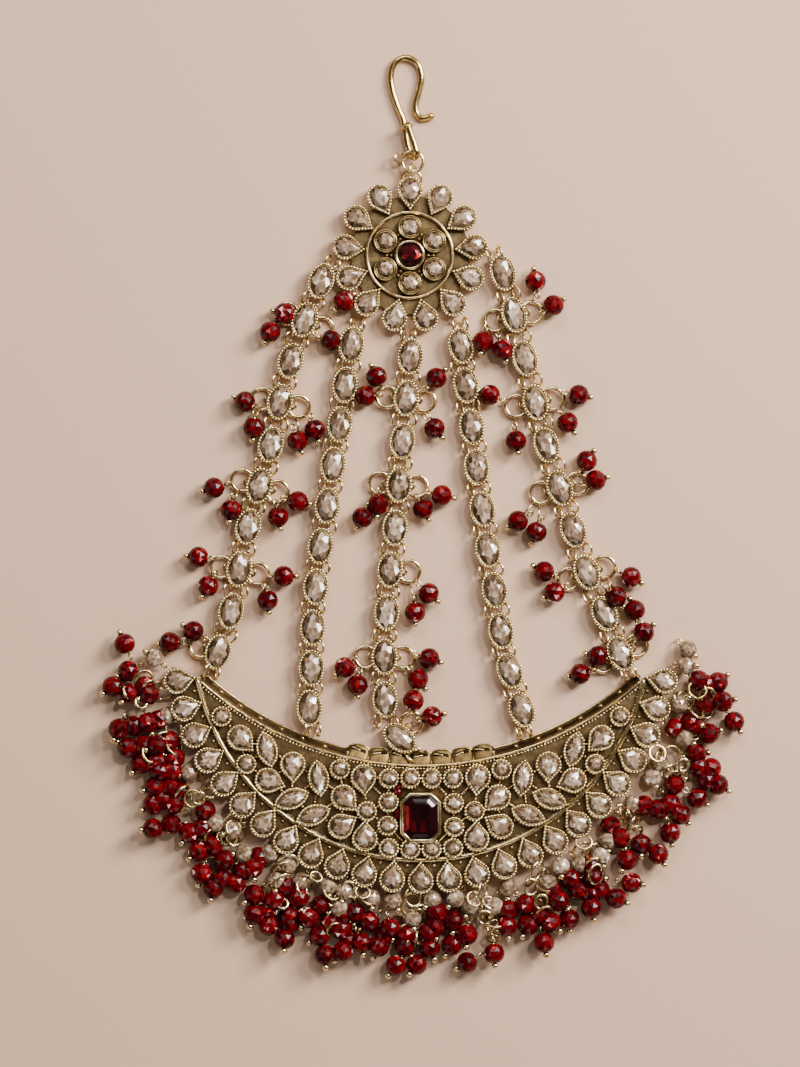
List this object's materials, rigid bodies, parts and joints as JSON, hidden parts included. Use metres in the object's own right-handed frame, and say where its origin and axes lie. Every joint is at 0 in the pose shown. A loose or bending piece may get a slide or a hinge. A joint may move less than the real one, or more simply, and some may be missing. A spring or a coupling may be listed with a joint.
{
  "type": "jhoomar side head ornament",
  "caption": "Side head ornament: a wire hook, a petalled stone medallion and strands of oval stones that fan out to a stone-set crescent fringed with red beads.",
  "frame": {"origin": "centre of the medallion's back face, which lies on the floor", "axes": "+Z out of the front, +Y towards the hook, +X to the right as the front is seen"},
  "size_m": [0.1113, 0.1636, 0.0048],
  "materials": {
    "antique_gold": "antique gold plate",
    "polished_gold": "polished",
    "red_crystal": "faceted",
    "garnet_glass": "faceted"
  },
  "bodies": {
    "root": {"medallion": "antique_gold", "medallion_stone": "garnet_glass", "hook": "polished_gold", "hook_ring": "antique_gold", "strand_1": "antique_gold", "strand_2": "antique_gold", "strand_3": "antique_gold", "strand_4": "antique_gold", "strand_5": "antique_gold", "drop_01": "red_crystal", "drop_02": "red_crystal", "drop_03": "red_crystal", "drop_04": "red_crystal", "drop_05": "red_crystal", "drop_06": "red_crystal", "drop_07": "red_crystal", "drop_08": "red_crystal", "drop_09": "red_crystal", "drop_10": "red_crystal", "drop_11": "red_crystal", "drop_12": "red_crystal", "drop_13": "red_crystal", "drop_14": "red_crystal", "drop_15": "red_crystal", "drop_16": "red_crystal", "drop_17": "red_crystal", "drop_18": "red_crystal", "drop_19": "red_crystal", "drop_20": "red_crystal", "drop_21": "red_crystal", "drop_22": "red_crystal", "drop_23": "red_crystal", "drop_24": "red_crystal", "drop_25": "red_crystal", "drop_26": "red_crystal", "drop_27": "red_crystal", "crescent": "antique_gold", "crescent_stone": "garnet_glass", "bunch_01": "red_crystal", "bunch_02": "red_crystal", "bunch_03": "red_crystal", "bunch_04": "red_crystal", "bunch_05": "red_crystal", "bunch_06": "red_crystal", "bunch_07": "red_crystal", "bunch_08": "red_crystal", "bunch_09": "red_crystal", "bunch_10": "red_crystal", "bunch_11": "red_crystal", "bunch_12": "red_crystal", "bunch_13": "red_crystal", "bunch_14": "red_crystal", "bunch_15": "red_crystal"}
  },
  "joints": []
}
